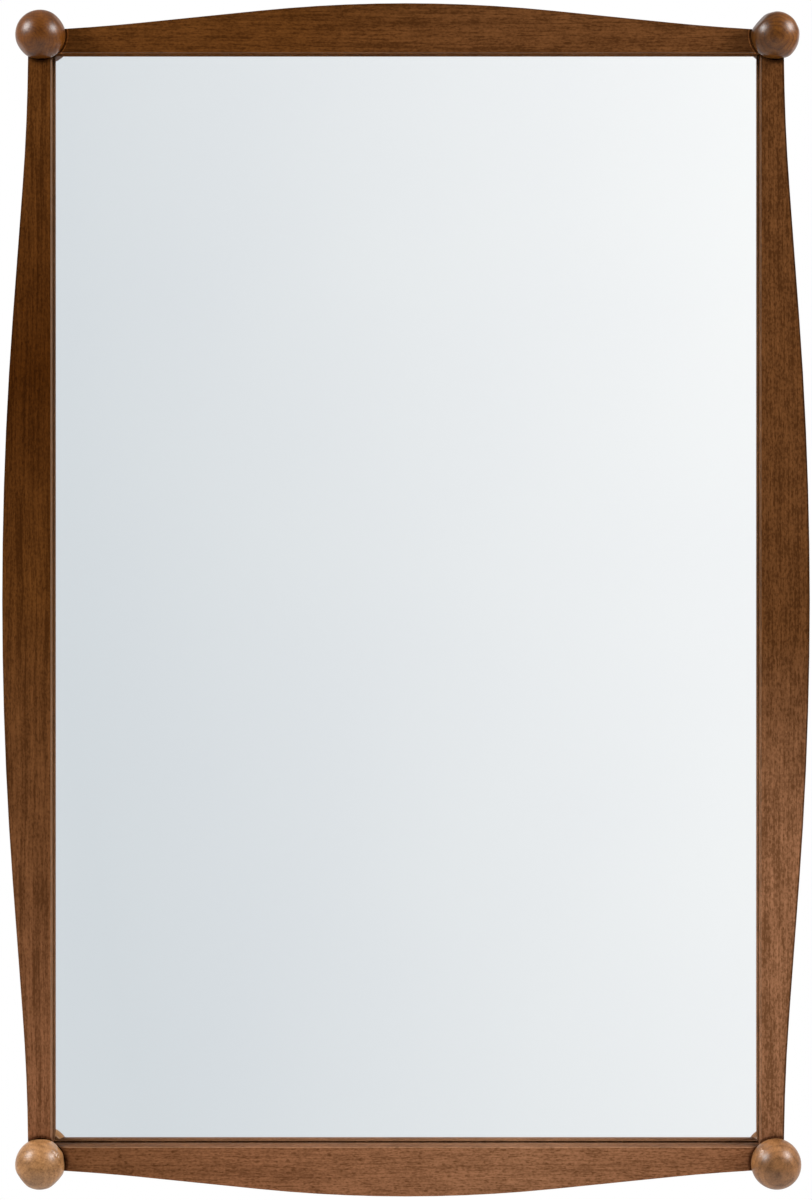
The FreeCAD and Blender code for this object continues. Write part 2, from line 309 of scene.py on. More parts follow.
class Board(Surface):
    """The nodes of one piece's wood."""

    def __init__(self, wood: Wood, low: Vector, high: Vector, seats: Sequence[Vector] = ()) -> None:
        """Find the places and directions that the figure follows.

        Args:
            wood: how the wood looks.
            low: the piece's lowest corner.
            high: its highest corner.
            seats: points on the axes of the ball seats in it, at y = 0.
        """
        super().__init__(wood.name)
        self.wood, self.low, self.high, self.seats = wood, low, high, seats
        self.parts = self.add("SeparateXYZ", self.position).outputs
        on_grain = self.add("CombineXYZ", *(self.parts[axis] for axis in wood.grain.value))
        self.place = self.add("VectorMath.MULTIPLY_ADD", on_grain, (METRES_TO_MM,) * 3, wood.cut_mm)
        self.facing = self.add("VectorMath.DOT_PRODUCT", self.normal, wood.outward).outputs["Value"]

    def build(self) -> Material:
        """Draw the figure, stain it, paint light and shade on its edges and seats and a highlight on its
        inner arris, and lacquer it.
        """
        wood = self.wood
        bent = self._wandered()
        fibres = wood.fibre.strength(self, self.place)
        pores = wood.pore.strength(self, self.place)
        layers = ((self._rings(bent), wood.ring_weight), (fibres, wood.fibre_weight),
                  (wood.streak.strength(self, bent), wood.streak_weight),
                  (wood.blotch.strength(self, self.place), wood.blotch_weight), (pores, wood.pore_weight),
                  (wood.fleck.strength(self, self.place), wood.fleck_weight))
        depth: object = 0.0
        for strength, weight in layers:
            depth = self.add("Math.MULTIPLY_ADD", strength, weight, depth)
        # Painted light and shade: the lip, outer arris and outward face are made darker or lighter by how
        # they face.
        colour = self._toned(self._stained(depth), self.facing, -1.0, 1.0, wood.painted_shading_by_facing)
        # Painted highlight on the inner arris, and a little on the lip.
        if wood.wear_and_highlight:
            colour = self._arris_highlighted(colour)
        # Painted shade round each ball seat, and on the top rail a painted highlight on its rim.
        if self.seats:
            colour = self._toned(colour, self._seat_distance(), 0.0, SEAT_TONES_REACH, wood.painted_seat_shading)
        relief = self.add("Math.MULTIPLY_ADD", pores, wood.pore_relief, fibres)
        dents = self.add("Bump", settings={"invert": True}, inputs={
            "Strength": wood.dent_strength, "Distance": wood.dent_mm * MM, "Height": relief})
        return self.close(self.add("BsdfPrincipled", inputs={
            "Base Color": colour, "Roughness": wood.matt_roughness, "Specular IOR Level": 0.0,
            "Normal": dents, "Coat Roughness": wood.lacquer_roughness,
            "Coat Weight": self._lacquered(), "Coat Normal": dents}))

    def _wandered(self) -> Node:
        """Let the grain wander slowly along the board, by up to wander_mm, and give the moved place."""
        drift = self.wood.wander.cloud(self, self.place).outputs["Color"]
        return self.add("VectorMath.MULTIPLY_ADD", drift, (self.wood.wander_mm * 2,) * 3, self.place)

    def _rings(self, bent: Node) -> Node:
        """Add growth rings round a pith that lies off the board and leans along it.

        Args:
            bent: the wandering place in millimetres.

        Returns:
            How far into the late wood a place lies, from 0 to 1.
        """
        leaning = self.add("VectorMath.MULTIPLY", bent, (1.0, 1.0, self.wood.lean))
        radius = self.add("VectorMath.DISTANCE", leaning, self.wood.pith_mm).outputs["Value"]
        count = self.add("Math.DIVIDE", radius, self.wood.ring_mm)
        return self.add("ValToRGB", self.add("Math.FRACT", count), stops=RING_TONES)

    def _stained(self, depth: object) -> Socket:
        """Colour the figure with the stain.

        Args:
            depth: the figure's darkness.

        Returns:
            The stained colour.
        """
        along = self.wood.grain.value[2]
        axis = "XYZ".index(along)
        share = self.add("MapRange", self.parts[along], self.low[axis], self.high[axis])
        stain = self.add("ValToRGB", share, stops=self.wood.toning)
        pale, deep = [self.add("VectorMath.MULTIPLY", stain, gain)
                      for gain in (self.wood.pale_gain, self.wood.deep_gain)]
        return self.add("Mix", inputs={"Factor": depth, 4: pale, 5: deep},
                        settings={"data_type": "VECTOR"}).outputs[1]

    def _arris_highlighted(self, colour: object) -> Socket:
        """Mix a painted highlight, in its pale tint, into a colour on the inner arris and a little on the
        lip.
        """
        share = self.add("MapRange", self.facing, -1.0, 1.0)
        amount = self.add("Math.MULTIPLY", self.add("ValToRGB", share, stops=ARRIS_HIGHLIGHT), self.wood.wear_and_highlight)
        return self.add("Mix", inputs={"Factor": amount, 4: colour, 5: linear(self.wood.arris_highlight_tint)[:3]},
                        settings={"data_type": "VECTOR"}).outputs[1]

    def _toned(self, colour: object, value: object, low: float, high: float, tones: Stops) -> Node:
        """Lighten or darken a colour by a ramp of greys.

        Args:
            colour: what is toned.
            value: what the ramp follows.
            low: the value at the ramp's start.
            high: the value at its end.
            tones: the ramp's places and greys.

        Returns:
            The toned colour.
        """
        tone = self.add("ValToRGB", self.add("MapRange", value, low, high), stops=tones)
        darkened = self.add("VectorMath.MULTIPLY", colour, tone)
        return self.add("VectorMath.SCALE", darkened, inputs={"Scale": 1 / linear(UNTONED)[0]})

    def _seat_distance(self) -> Node:
        """Measure how far a place lies from the nearest ball seat, which reaches only part way back.

        Returns:
            The distance in metres, from the seat's axis on the front and growing towards the back.
        """
        flat = self.add("VectorMath.MULTIPLY", self.position, (1.0, 0.0, 1.0))
        nearest: object = 1.0
        for seat in self.seats:
            off_axis = self.add("VectorMath.DISTANCE", flat, seat).outputs["Value"]
            nearest = self.add("Math.MINIMUM", off_axis, nearest)
        behind = self.add("MapRange", self.parts["Y"], self.low.y + SEAT_TONES_DEPTH / 2,
                          self.low.y + SEAT_TONES_DEPTH, 0.0, SEAT_TONES_REACH)
        return self.add("Math.ADD", nearest, behind)

    def _lacquered(self) -> Node:
        """Give the lacquer's weight: most on the inner arris, little on the lip and none on the back."""
        wood = self.wood
        from_lip = self.add("MapRange", self.facing, *LIP_TO_ARRIS, wood.lip_lacquer, wood.arris_lacquer)
        off_lip = self.add("MapRange", self.facing, *ARRIS_TO_FRONT, from_lip, wood.lacquer)
        back = self.add("VectorMath.DOT_PRODUCT", self.normal, (0.0, 1.0, 0.0)).outputs["Value"]
        return self.add("MapRange", back, *FRONT_TO_BACK, off_lip, 0.0)


@dataclass(frozen=True)
class PlatedSteel:
    """Plated steel: cold-formed, barrel plated and passivated, so it is bright with a cloudy bloom."""

    name: str
    bright: str
    bloom: str
    roughness: float
    cloud_mm: float
    # The grit is coarser than that of real plating, so that it shows.
    grit_mm: float = 0.25

    def material(self) -> Material:
        """Make the metal, with its bloom and fine scratches."""
        nodes = Surface(self.name)
        cloud, tint = nodes.clouded(self.cloud_mm, 4.0, ((0.35, self.bright), (0.7, self.bloom)))
        wear = nodes.add("MapRange", cloud, 0.3, 0.7, self.roughness * 0.7, self.roughness * 1.5)
        grit = nodes.add("TexNoise", inputs={
            "Vector": nodes.position, "Scale": METRES_TO_MM / self.grit_mm, "Detail": 1.0})
        return nodes.dented(grit, 0.12, 0.02, {"Base Color": tint, "Metallic": 1.0, "Roughness": wear})


@dataclass(frozen=True)
class Rubber:
    """Moulded natural rubber: black and matt, greyed by dust where the skin is rough."""

    name: str = "moulded black rubber"
    skin: str = "#1d1c1b"
    dusty: str = "#3a3836"
    skin_mm: float = 1.1

    def material(self) -> Material:
        """Make the rubber, with its moulded skin."""
        nodes = Surface(self.name)
        skin, colour = nodes.clouded(self.skin_mm, 3.0, ((0.4, self.skin), (0.8, self.dusty)))
        return nodes.dented(skin, 0.3, 0.08, {
            "Base Color": colour, "Roughness": 0.78, "Specular IOR Level": 0.4})


@dataclass(frozen=True)
class Hardboard:
    """Wet-process hardboard: brown pressed fibre whose rear face keeps the print of the press's mesh."""

    name: str = "screen-backed hardboard"
    fibre: str = "#62422a"
    pressed: str = "#a57b55"
    fibre_mm: float = 7.0
    # A real mesh prints every 1.4 mm. It is drawn at 2.8 mm, so that it shows.
    mesh_mm: float = 2.8

    def material(self) -> Material:
        """Make the board, with its mesh print and its mottled fibres."""
        nodes = Surface(self.name)
        wires = {"Vector": nodes.position, "Scale": METRES_TO_MM / self.mesh_mm * math.pi / 10,
                 "Distortion": 0.4}
        warps, wefts = [nodes.add("TexWave", inputs=wires, settings={"bands_direction": axis}).outputs["Fac"]
                        for axis in "XZ"]
        fibres = nodes.add("TexNoise", inputs={
            "Vector": nodes.position, "Scale": METRES_TO_MM / self.fibre_mm, "Detail": 8.0,
            "Roughness": 0.8})
        mixed = nodes.add("Math.MULTIPLY_ADD", nodes.add("Math.MULTIPLY", warps, wefts), 0.5, fibres)
        colour = nodes.add("ValToRGB", mixed, stops=((0.4, self.fibre), (0.95, self.pressed)))
        return nodes.dented(mixed, 0.4, 0.15, {
            "Base Color": colour, "Roughness": 0.72, "Specular IOR Level": 0.25})


@dataclass(frozen=True)
class FloatGlass:
    """Clear float glass: almost colourless, with the faint green of its iron, and flat to the eye."""

    name: str = "clear float glass"
    tint: str = "#fdfffe"
    draw_mm: float = 240.0

    def material(self) -> Material:
        """Make the glass, with the slight waviness that drawing leaves."""
        nodes = Surface(self.name)
        draw = nodes.add("TexNoise", inputs={
            "Vector": nodes.position, "Scale": METRES_TO_MM / self.draw_mm, "Detail": 0.0})
        return nodes.dented(draw, 0.05, 0.02, {
            "Base Color": linear(self.tint), "Roughness": 0.0, "IOR": 1.5, "Transmission Weight": 1.0})


@dataclass(frozen=True)
class SilverCoat:
    """Chemically deposited silver, seen through the glass: bright, neutral and without texture."""

    name: str = "deposited silver"
    bright: str = "#fdfdfd"
    # The silver's slightly duller tone in its clouds.
    wear_and_highlight: str = "#fbfbfc"
    cloud_mm: float = 180.0

    def material(self) -> Material:
        """Make the silver, a trace duller in broad clouds."""
        nodes = Surface(self.name)
        _, tint = nodes.clouded(self.cloud_mm, 1.0, ((0.3, self.bright), (0.8, self.wear_and_highlight)))
        return nodes.close(nodes.add("BsdfPrincipled", inputs={
            "Base Color": tint, "Metallic": 1.0, "Roughness": 0.0}))


def dress(node: str, material: Material) -> None:
    """Give a CAD node a better material in its own slots.

    Args:
        node: the node's name.
        material: what it gets.
    """
    for material_slot in frame["nodes"][node].material_slots:
        material_slot.material = material
    log.info("%s dressed in %s", node, material.name)


def link_piece(name: str, mesh: Mesh, body: str, replaced: Sequence[str] = ()) -> None:
    """Put a finished mesh in the scene as a piece of the object.

    Args:
        name: the piece's name.
        mesh: its mesh, in the frame's own place.
        body: the CAD body that it moves with.
        replaced: the CAD nodes that it stands for.
    """
    piece = bpy.data.objects.new(name, mesh)
    bpy.context.scene.collection.objects.link(piece)
    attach(piece, body)
    if replaced:
        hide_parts(*replaced)
    log.info("%s made with %d faces, on %s", name, len(mesh.polygons), body)


def smooth(mesh: Mesh) -> Mesh:
    """Shade a mesh smooth between its sharp edges, and give it back."""
    mesh.shade_smooth()
    mesh.set_sharp_from_angle(angle=SHARP_FROM)
    return mesh


def mesh_from(shape: bmesh.types.BMesh, name: str, material: Material) -> Mesh:
    """Turn a closed bmesh into a smooth mesh whose faces point outwards.

    Args:
        shape: the closed shape, which is freed.
        name: the mesh's name.
        material: its material.

    Returns:
        The mesh.
    """
    bmesh.ops.recalc_face_normals(shape, faces=shape.faces[:])
    mesh = bpy.data.meshes.new(name)
    shape.to_mesh(mesh)
    shape.free()
    mesh.materials.append(material)
    return smooth(mesh)


def lathe(profile: Sequence[tuple[float, float]], segments: int,
          place: Callable[[float, float, float], Vector]) -> bmesh.types.BMesh:
    """Turn a profile round the y axis into a closed shape.

    Args:
        profile: radius and height of each corner; the first and the last radius are 0.
        segments: steps round the axis.
        place: gives a point from its radius, height and angle.

    Returns:
        The shape.
    """
    shape = bmesh.new()
    rings = [[shape.verts.new(place(radius, height, math.tau * step / segments))
              for step in range(segments if radius > 0 else 1)] for radius, height in profile]
    for ring, following in zip(rings, rings[1:]):
        for step in range(segments):
            corners = [ring[step % len(ring)], ring[(step + 1) % len(ring)],
                       following[(step + 1) % len(following)], following[step % len(following)]]
            shape.faces.new(list(dict.fromkeys(corners)))
    return shape


def islands(node: str) -> list[tuple[Vector, Vector]]:
    """Find the boxes of a CAD node's separate solids.

    Args:
        node: the node's name.

    Returns:
        The lowest and highest corner of each solid, in the order of their places.
    """
    shape = bmesh.new()
    shape.from_mesh(frame["nodes"][node].data)
    bmesh.ops.remove_doubles(shape, verts=shape.verts[:], dist=WELD)
    unseen = set(shape.verts)
    boxes = []
    while unseen:
        edge_of_search = [unseen.pop()]
        points = []
        while edge_of_search:
            vertex = edge_of_search.pop()
            points.append(vertex.co.copy())
            near = {edge.other_vert(vertex) for edge in vertex.link_edges} & unseen
            unseen -= near
            edge_of_search += near
        low, high = [Vector([limit(p[axis] for p in points) for axis in range(3)]) for limit in (min, max)]
        boxes.append((low, high))
    shape.free()
    return sorted(boxes, key=lambda corners: (round(corners[0].x, 4), round(corners[0].z, 4)))


class Maker(Nodes):
    """A Geometry Nodes tree that puts copies of a small part on points, with a named input for each size."""

    def __init__(self, name: str, sizes: Sequence[str]) -> None:
        """Start the tree.

        Args:
            name: the tree's name.
            sizes: the names of its sizes.
        """
        super().__init__(bpy.data.node_groups.new(name, "GeometryNodeTree"))
        sockets = [("Geometry", "INPUT", "Geometry"), *((size, "INPUT", "Float") for size in sizes),
                   ("Material", "INPUT", "Material"), ("Geometry", "OUTPUT", "Geometry")]
        for socket, way, kind in sockets:
            self.tree.interface.new_socket(socket, in_out=way, socket_type="NodeSocket" + kind)
        self.given = self.add("NodeGroupInput").outputs

    def end(self, copy: Node, rotation: object = (0.0, 0.0, 0.0)) -> None:
        """Put a copy on every point, as real meshes in their material.

        Args:
            copy: what is put there.
            rotation: how it is turned.
        """
        placed = self.add("GeometryNodeInstanceOnPoints", inputs={
            "Points": self.given["Geometry"], "Instance": copy, "Rotation": rotation})
        real = self.add("GeometryNodeRealizeInstances", placed)
        finished = self.add("GeometryNodeSetMaterial", real, inputs={"Material": self.given["Material"]})
        self.add("NodeGroupOutput", finished)

    def run(self, points: Sequence[Vector], material: Material, sizes: dict[str, float]) -> Mesh:
        """Run the tree and keep what it makes as a plain mesh.

        Args:
            points: where it puts its copies.
            material: what they are made of.
            sizes: its sizes by name.

        Returns:
            The mesh.
        """
        name = self.tree.name
        seed = bpy.data.meshes.new(name)
        seed.from_pydata([tuple(point) for point in points], [], [])
        carrier = bpy.data.objects.new(name, seed)
        bpy.context.scene.collection.objects.link(carrier)
        modifier = carrier.modifiers.new(name, "NODES")
        modifier.node_group = self.tree
        values = {**sizes, "Material": material}
        for item in self.tree.interface.items_tree:
            if item.in_out == "INPUT" and item.name in values:
                modifier[item.identifier] = values[item.name]
        depsgraph = bpy.context.evaluated_depsgraph_get()
        mesh = bpy.data.meshes.new_from_object(carrier.evaluated_get(depsgraph), depsgraph=depsgraph)
        carrier.modifiers.remove(modifier)
        bpy.data.objects.remove(carrier)
        return smooth(mesh)


# Shades of the walnut stain, from darkest to palest. The stiles are given paler ones towards their lower
# ends, and the bottom rail paler ones than the top rail.
BURNT = "#442307"
DEEP = "#5a3515"
BROWN = "#623d20"
WARM = "#6c4529"
TAN = "#82563a"
PALE = "#8f6346"

# Painted shade in the dish round each ball, where the ball shades the frame. On the top rail the dish's
# outer rim also gets a painted highlight.
PAINTED_SEAT_SHADE = ((0.0, "#606060"), (0.84, "#606060"), (0.93, UNTONED))
PAINTED_SEAT_SHADE_AND_RIM_HIGHLIGHT = ((0.0, "#707070"), (0.845, "#707070"), (0.852, "#cccccc"), (0.875, "#cccccc"),
                    (0.882, UNTONED))


def painted_shading_by_facing(lip: str, outer_arris: str, outer_face: str) -> Stops:
    """Give a member's painted light and shade, from its inward face, over its front, to its outward face.

    Args:
        lip: grey painted on the inward face round the glass, below middle grey for shade and above it for
            light.
        outer_arris: grey painted on the outer arris for its shade, or for its light where paler than middle
            grey.
        outer_face: grey painted on the outward face for its shade, or for its light where paler than middle
            grey.

    Returns:
        The places and greys of the ramp.
    """
    return ((0.0, lip), (0.07, lip), (0.14, UNTONED), (0.53, UNTONED), (0.62, outer_arris),
            (0.9, outer_arris), (1.0, outer_face))


@dataclass
class FrameMembers:
    """The four bowed members. Their shape is the frame's own, and each is a board with its own figure."""

    woods: dict[str, Wood] = field(default_factory=lambda: {
        "left_stile": Wood(
            "walnut-stained hardwood, left stile", Grain.UPRIGHT,
            ((0.06, TAN), (0.26, WARM), (0.5, DEEP), (0.7, BURNT), (0.95, DEEP)), (-1.0, 0.0, 0.0),
            painted_shading_by_facing("#787878", "#707070", "#707070"), PAINTED_SEAT_SHADE, (11.0, 3.0, 40.0), wear_and_highlight=0.5,
            streak_weight=0.42),
        "right_stile": Wood(
            "walnut-stained hardwood, right stile", Grain.UPRIGHT,
            ((0.06, PALE), (0.27, PALE), (0.47, BROWN), (0.95, BROWN)), (1.0, 0.0, 0.0),
            painted_shading_by_facing("#787878", "#525252", "#6c6c6c"), PAINTED_SEAT_SHADE, (-713.0, 9.0, 260.0), wear_and_highlight=0.22,
            fleck_weight=0.4, streak_weight=0.24, blotch_weight=0.24),
        "top_rail": Wood(
            "walnut-stained hardwood, top rail", Grain.LEVEL, ((0.35, DEEP), (0.6, BROWN)), (0.0, 0.0, 1.0),
            painted_shading_by_facing("#a0a0a0", "#6c6c6c", "#707070"), PAINTED_SEAT_SHADE_AND_RIM_HIGHLIGHT, (-870.0, 5.0, 530.0),
            lean=0.03, wear_and_highlight=0.12),
        "bottom_rail": Wood(
            "walnut-stained hardwood, bottom rail", Grain.LEVEL,
            ((0.0, WARM), (0.3, TAN), (0.65, PALE), (0.96, TAN)), (0.0, 0.0, -1.0),
            painted_shading_by_facing("#646464", "#909090", "#888888"), PAINTED_SEAT_SHADE, (905.0, -4.0, 990.0), wear_and_highlight=0.28,
            lean=0.03, ring_weight=0.2, streak_weight=0.16, pore_weight=0.4, arris_lacquer=0.2,
            lip_lacquer=0.14),
    })

    def build(self) -> None:
        """Dress the members."""
        seats = {corner: (sum(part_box(corner + "_ball"), Vector()) / 2) * Vector((1.0, 0.0, 1.0))
                 for corner in ("top_left", "top_right", "bottom_left", "bottom_right")}
        for node, wood in self.woods.items():
            own_seats = [seat for corner, seat in seats.items() if node.split("_")[0] in corner]
            dress(node, Board(wood, *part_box(node), own_seats).build())


@dataclass(frozen=True)
class Flat:
    """A place where hand sanding has left a ball a little flat."""

    towards: Place
    depth_mm: float


@dataclass(frozen=True)
class BallLook:
    """How one corner ball differs from the others."""

    # The ball's colour. The bottom balls are given paler ones than the top balls.
    stain: str
    turn_mm: Place
    pith_mm: tuple[float, float]
    ring_weight: float
    flats: tuple[Flat, ...] = ()
    # Painted light and shade over the ball, as greys over how far it faces the given direction.
    painted_light_towards: Place = (0.0, 0.0, 0.0)
    painted_light_and_shade: Stops = PLAIN


@dataclass
class CornerBalls:
    """Four balls, turned by hand and sanded, so that none is a perfect sphere."""

    segments: int = 128
    rings: int = 72
    wobble_mm: float = 0.22
    # Swellings to a radius.
    wobble_scale: float = 1.3
    soft_mm: float = 1.6
    # Cosine of the widest angle from the middle of a flat at which it still shapes the ball.
    flat_reach: float = 0.5
    screw_hole_radius_mm: float = 1.95
    lacquer: float = 0.84
    looks: dict[str, BallLook] = field(default_factory=lambda: {
        "top_left_ball": BallLook("#62370e", (3.0, 8.0, 31.0), (-3.0, -2.0), 0.34, (
            Flat((0.8, -0.2, 0.6), 0.7), Flat((0.0, 0.0, -1.0), 1.2), Flat((-0.75, -0.3, -0.6), 0.6))),
        "top_right_ball": BallLook("#663c12", (-6.0, 40.0, 77.0), (1.5, -0.5), 0.5, (
            Flat((-0.74, -0.1, 0.67), 3.1), Flat((-0.25, -0.1, 0.96), 1.9), Flat((0.25, -0.15, 0.96), 1.3),
            Flat((0.62, -0.15, 0.77), 1.3), Flat((0.9, -0.15, 0.4), 1.6), Flat((0.98, -0.15, -0.12), 1.6),
            Flat((0.85, -0.15, -0.5), 1.0), Flat((0.0, 0.0, -1.0), 1.2)),
            # Painted on the top right ball: darker on its left and lighter on its right.
            (0.97, 0.0, -0.2), ((0.0, "#585858"), (0.3, "#6c6c6c"), (0.7, "#929292"), (1.0, "#868686"))),
        "bottom_left_ball": BallLook("#9b7048", (9.0, -23.0, 143.0), (-1.0, -4.0), 0.26, (
            Flat((-0.8, -0.2, -0.6), 0.8), Flat((0.75, -0.2, -0.66), 1.0), Flat((1.0, 0.0, 0.1), 1.3),
            Flat((0.7, 0.0, 0.7), 1.4), Flat((0.0, 0.0, 1.0), 1.2))),
        "bottom_right_ball": BallLook(
            # Painted shade on the bottom right ball, where it faces the room.
            "#8c613c", (-2.0, 61.0, 209.0), (5.0, -1.0), 0.34, (), (-0.33, -0.94, 0.15),
            ((0.0, UNTONED), (0.9, UNTONED), (0.99, "#6e6e6e"))),
    })

    def build(self) -> None:
        """Turn and dress every ball."""
        for node, look in self.looks.items():
            low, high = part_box(node)
            centre = (low + high) / 2
            radius = (high.x - low.x) / 2
            centre.y = low.y + radius
            wood = self._wood(node, look, centre)
            mesh = mesh_from(self._turned(look, centre, radius, high.y), node + "_turned",
                             Board(wood, low, high).build())
            link_piece(node + "_turned", mesh, FRAME_BODY, (node,))

    def _wood(self, node: str, look: BallLook, centre: Vector) -> Wood:
        """Choose one ball's wood, which is turned from a square so that its end grain faces the room.

        Args:
            node: the CAD node.
            look: how the ball differs.
            centre: its centre.

        Returns:
            The wood.
        """
        on_grain = (centre.x, centre.z, centre.y)
        moved = tuple(turn - METRES_TO_MM * coordinate for turn, coordinate in zip(look.turn_mm, on_grain))
        pith = (look.turn_mm[0] + look.pith_mm[0], look.turn_mm[1] + look.pith_mm[1], 0.0)
        return Wood("turned stained hardwood, " + node.replace("_", " "), Grain.END_ON,
                    ((0.0, look.stain), (1.0, look.stain)), look.painted_light_towards, look.painted_light_and_shade,
                    cut_mm=moved, pith_mm=pith, lean=0.2, ring_mm=2.3, wander_mm=3.4,
                    ring_weight=look.ring_weight, streak_weight=0.14, blotch_weight=0.34, pore_weight=0.08,
                    fleck_weight=0.18, fibre=Layer(1.0, 12.0, 0.34, 0.66, 3.0),
                    streak=Layer(4.5, 30.0, 0.44, 0.68), blotch=Layer(7.0, 12.0, 0.36, 0.66, 3.0),
                    wander=Layer(13.0, 30.0, detail=1.0), lacquer=self.lacquer, arris_lacquer=self.lacquer,
                    lip_lacquer=self.lacquer, lacquer_roughness=0.34)

    def _turned(self, look: BallLook, centre: Vector, radius: float, sawn_y: float) -> bmesh.types.BMesh:
        """Turn a ball about an axis through its centre, from its front to its sawn back and screw hole.

        Args:
            look: how the ball differs.
            centre: its centre.
            radius: its radius.
            sawn_y: where its back is sawn flat.

        Returns:
            The closed shape.
        """
        last_angle = math.acos((centre.y - sawn_y) / radius)
        angles = [last_angle * step / self.rings for step in range(self.rings + 1)]
        sphere = [(radius * math.sin(angle), -radius * math.cos(angle)) for angle in angles]
        back = sawn_y - centre.y
        tip_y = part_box("ball_screws")[0].y - centre.y
        hole = self.screw_hole_radius_mm * MM
        seat = [((sphere[-1][0] + hole) / 2, back), (hole, back), (hole, tip_y + hole), (0.0, tip_y)]

        def place(ring_radius: float, height: float, angle: float) -> Vector:
            """Give a point of the ball, drawn in where the sanding has taken wood off."""
            point = Vector((ring_radius * math.cos(angle), height, ring_radius * math.sin(angle)))
            if abs(point.length - radius) < MM * self.wobble_mm:
                point = point.normalized() * self._reach(look, point.normalized(), radius)
                point.y = min(point.y, back)
            return centre + point

        return lathe(sphere + seat, self.segments, place)

    def _reach(self, look: BallLook, direction: Vector, radius: float) -> float:
        """Work out how far a sanded ball reaches in one direction.

        Args:
            look: the ball's flats and the place that it was cut from.
            direction: a unit direction from its centre.
            radius: its radius before sanding.

        Returns:
            The distance from the centre, at most the radius.
        """
        swell = 0.5 + 0.5 * noise.noise(direction * self.wobble_scale + Vector(look.turn_mm))
        reach = radius - self.wobble_mm * MM * swell
        soft = self.soft_mm * MM
        for flat in look.flats:
            facing = direction.dot(Vector(flat.towards).normalized())
            if facing > self.flat_reach:
                plane = (radius - flat.depth_mm * MM) / facing
                overlap = max(soft - abs(reach - plane), 0.0) / soft
                reach = min(reach, plane) - overlap * overlap * soft / 4
        return reach


@dataclass
class MirrorPane:
    """The glass with its silver, the board behind them and the blocks that they stand on."""

    coat_mm: float = 0.15
    coat_inset_mm: float = 1.0
    coat_depth_mm: float = 0.03
    corner_mm: float = 4.0

    def build(self) -> None:
        """Dress the glass, the board and the blocks, and lay the silver behind the glass."""
        dress("mirror_glass", FloatGlass().material())
        dress("backing_board", Hardboard().material())
        dress("setting_blocks", Rubber("moulded setting block").material())
        mesh = mesh_from(self._coat(), "silver_coat", SilverCoat().material())
        link_piece("silver_coat", mesh, FRAME_BODY)

    def _coat(self) -> bmesh.types.BMesh:
        """Make the silver: a thin sheet with clipped corners, just inside the back of the glass."""
        _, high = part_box("mirror_glass")
        half_x = high.x - self.coat_inset_mm * MM
        half_z = high.z - self.coat_inset_mm * MM
        clip = self.corner_mm * MM
        rear = high.y - self.coat_depth_mm * MM
        right = [(half_x - clip, half_z), (half_x, half_z - clip), (half_x, clip - half_z),
                 (half_x - clip, -half_z)]
        outline = right + [(-x, z) for x, z in reversed(right)]
        shape = bmesh.new()
        sheets = [[shape.verts.new((x, y, z)) for x, z in outline] for y in (rear, rear - self.coat_mm * MM)]
        for sheet in sheets:
            shape.faces.new(sheet)
        back, front = sheets
        for step in range(len(outline)):
            shape.faces.new((back[step - 1], back[step], front[step], front[step - 1]))
        return shape


class Head(Enum):
    """Form of a screw's head."""

    ROUND = "round"
    COUNTERSUNK = "countersunk"


@dataclass(frozen=True)
class Screw:
    """One kind of cross-slotted wood screw."""

    node: str
    head: Head
    head_mm: float
    head_height_mm: float
    shank_mm: float
    # How far under a round head the shank begins to widen.
    neck_mm: float = 0.2
    tip_share: float = 0.22
    thread_share: float = 0.62
    pitch_per_radius: float = 0.9
    core_per_radius: float = 0.12
    crest_per_pitch: float = 0.22
    slot_per_radius: Place = (1.2, 0.3, 0.8)

    def sizes(self, height: float) -> dict[str, float]:
        """Work out the sizes that the screws' tree takes.

        Args:
            height: from the tip to the top of the head.

        Returns:
            The sizes by name. Heights are measured from under a round head, or from a countersunk
            head's face, and are negative below it.
        """
        is_round = self.head is Head.ROUND
        crown = self.head_height_mm * MM if is_round else 0.0
        length = height - crown
        head = self.head_mm * MM / 2
        shank = self.shank_mm * MM / 2
        thread = length * self.thread_share
        pitch = shank * self.pitch_per_radius
        slot_length, slot_width, slot_depth = (head * share for share in self.slot_per_radius)
        return {
            "Crown": crown, "Neck": -MM * (self.neck_mm if is_round else self.head_height_mm),
            "Taper": length * (self.tip_share - 1), "Tip": -length, "Head radius": head,
            "Shank radius": shank, "Core radius": shank * self.core_per_radius,
            "Crest radius": pitch * self.crest_per_pitch, "Thread length": thread, "Turns": thread / pitch,
            "Slot length": slot_length, "Slot width": slot_width, "Slot depth": slot_depth}


